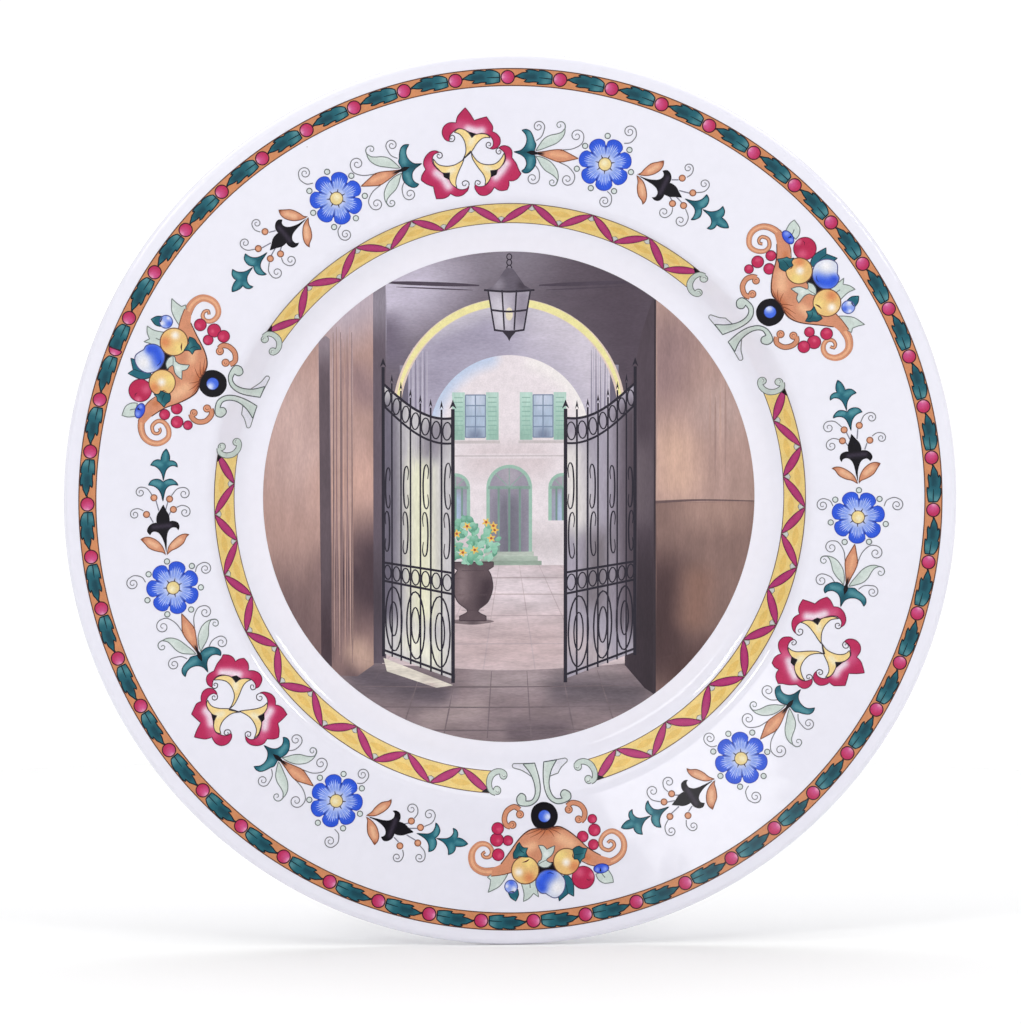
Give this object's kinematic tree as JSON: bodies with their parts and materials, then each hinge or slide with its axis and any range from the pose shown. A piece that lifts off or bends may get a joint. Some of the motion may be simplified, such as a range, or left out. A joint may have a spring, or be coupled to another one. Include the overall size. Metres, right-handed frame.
{
  "type": "souvenir plate",
  "caption": "Round wide-rimmed ceramic display plate with a courtyard picture in the well and an enamelled rim border of fruit baskets, palmettes and flowers.",
  "frame": {"origin": "centre of the foot ring's resting plane at the back, on the plate's axis", "axes": "+Y out of the back along the plate's axis, +Z towards the top of the decoration, +X to the right seen from the front; the painted face looks along -Y"},
  "size_m": [0.27, 0.0235, 0.27],
  "materials": {
    "glazed_ceramic": "gloss white glaze with a faint lavender cast, bare clay on the foot ring's face",
    "picture_enamel": "fused picture transfer, gloss",
    "laurel_enamel": "fused enamel, gloss",
    "border_enamel": "fused enamel, gloss",
    "crimson_enamel": "fused enamel, gloss",
    "fruit_enamel": "fused enamel, gloss",
    "blue_enamel": "fused enamel, gloss",
    "leaf_enamel": "fused enamel, gloss",
    "lily_enamel": "fused enamel, gloss"
  },
  "bodies": {
    "root": {"plate_body": "glazed_ceramic", "centre_picture": "picture_enamel", "laurel_band": "laurel_enamel", "inner_border_1": "border_enamel", "inner_border_2": "border_enamel", "inner_border_3": "border_enamel", "palmette_1": "crimson_enamel", "palmette_2": "crimson_enamel", "palmette_3": "crimson_enamel", "cornucopia_1": "fruit_enamel", "cornucopia_2": "fruit_enamel", "cornucopia_3": "fruit_enamel", "blue_flower_1": "blue_enamel", "blue_flower_2": "blue_enamel", "blue_flower_3": "blue_enamel", "blue_flower_4": "blue_enamel", "blue_flower_5": "blue_enamel", "blue_flower_6": "blue_enamel", "leaf_sprig_1": "leaf_enamel", "leaf_sprig_2": "leaf_enamel", "leaf_sprig_3": "leaf_enamel", "leaf_sprig_4": "leaf_enamel", "leaf_sprig_5": "leaf_enamel", "leaf_sprig_6": "leaf_enamel", "black_lily_1": "lily_enamel", "black_lily_2": "lily_enamel", "black_lily_3": "lily_enamel", "black_lily_4": "lily_enamel", "black_lily_5": "lily_enamel", "black_lily_6": "lily_enamel", "tip_sprig_1": "leaf_enamel", "tip_sprig_2": "leaf_enamel", "tip_sprig_3": "leaf_enamel", "tip_sprig_4": "leaf_enamel", "tip_sprig_5": "leaf_enamel", "tip_sprig_6": "leaf_enamel"}
  },
  "joints": []
}
